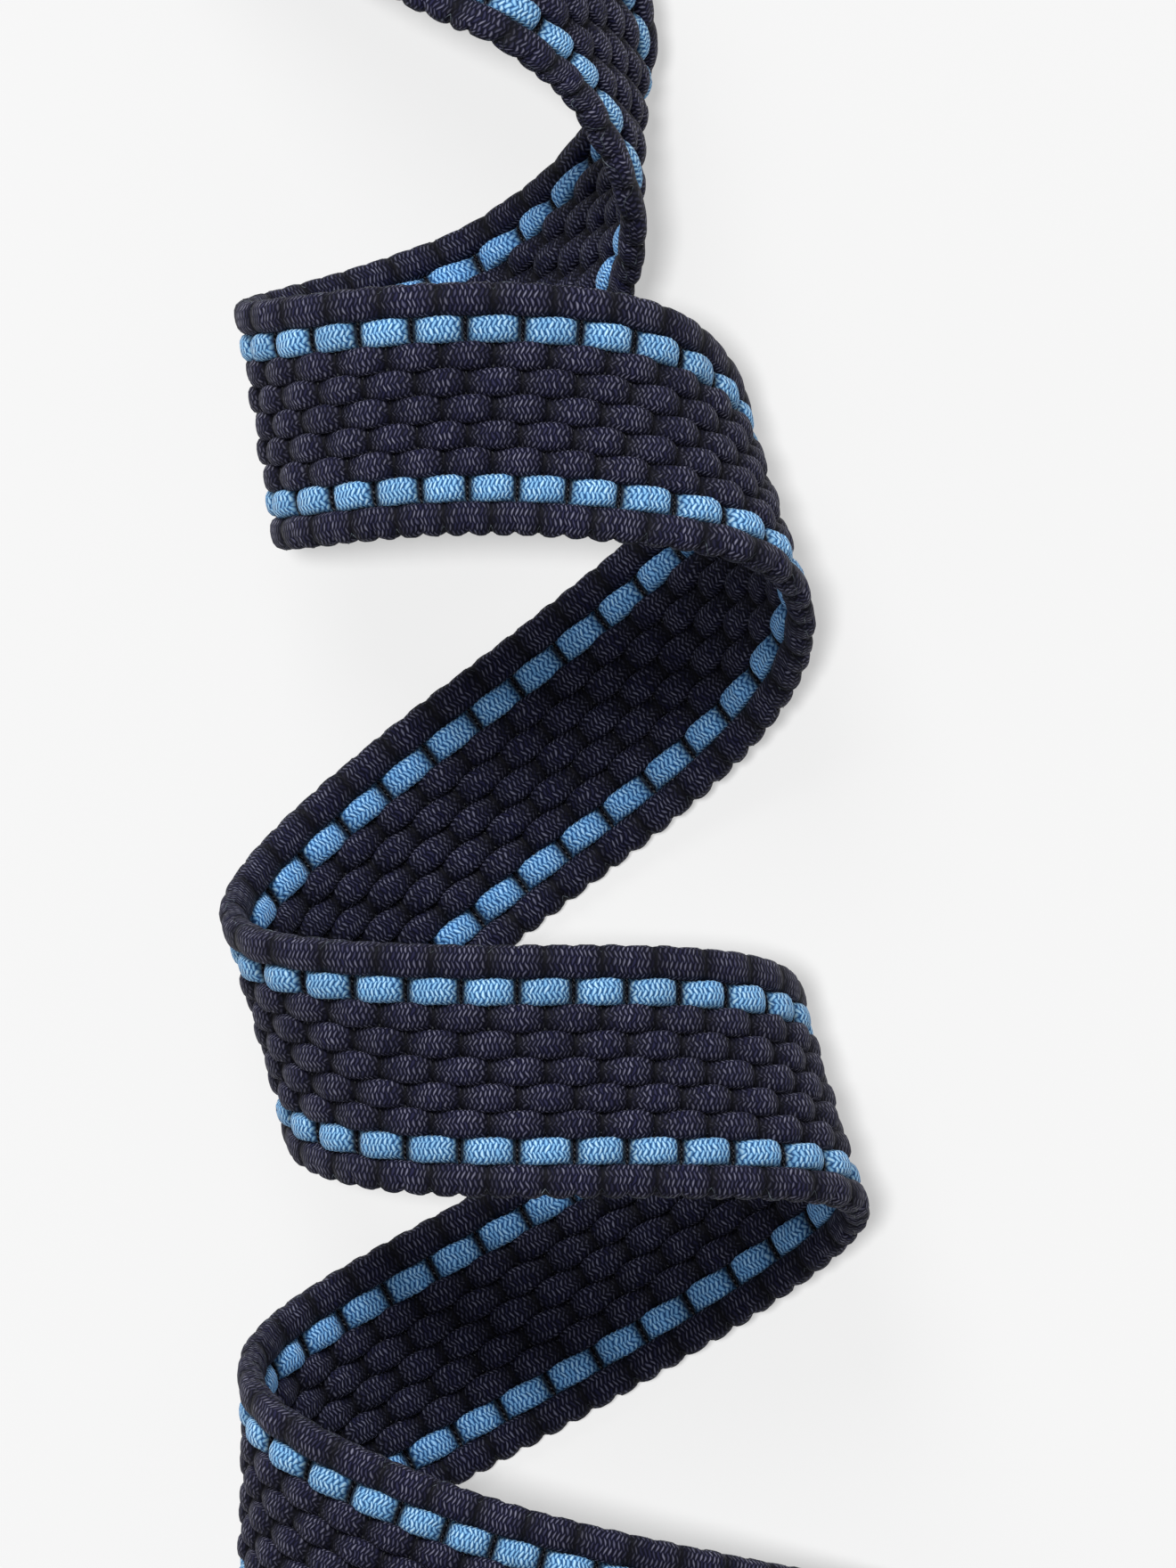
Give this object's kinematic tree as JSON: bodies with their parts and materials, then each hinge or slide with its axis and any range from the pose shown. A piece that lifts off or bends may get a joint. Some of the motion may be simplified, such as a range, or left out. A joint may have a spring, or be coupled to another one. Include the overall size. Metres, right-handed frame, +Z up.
{
  "type": "braided belt",
  "caption": "Woven elastic cord belt with light stripes, laid in a loose coil, with a leather tab, a prong buckle and a leather tip.",
  "frame": {"origin": "middle of the belt's footprint, on the surface that it lies on", "axes": "+Z up from the surface, +Y along the coil towards the buckle, +X to the side that the tip points to"},
  "size_m": [0.302, 0.39, 0.0551],
  "materials": {
    "navy_cord": "matt braided yarn",
    "blue_cord": "soft braided yarn with a slight sheen",
    "dark_weft": "thin twisted yarn",
    "dark_leather": "smooth grain, low sheen",
    "buckle_metal": "satin nickel"
  },
  "bodies": {
    "root": {"band": "navy_cord", "buckle_tab": "dark_leather", "buckle": "buckle_metal", "end_tip": "dark_leather"}
  },
  "joints": []
}
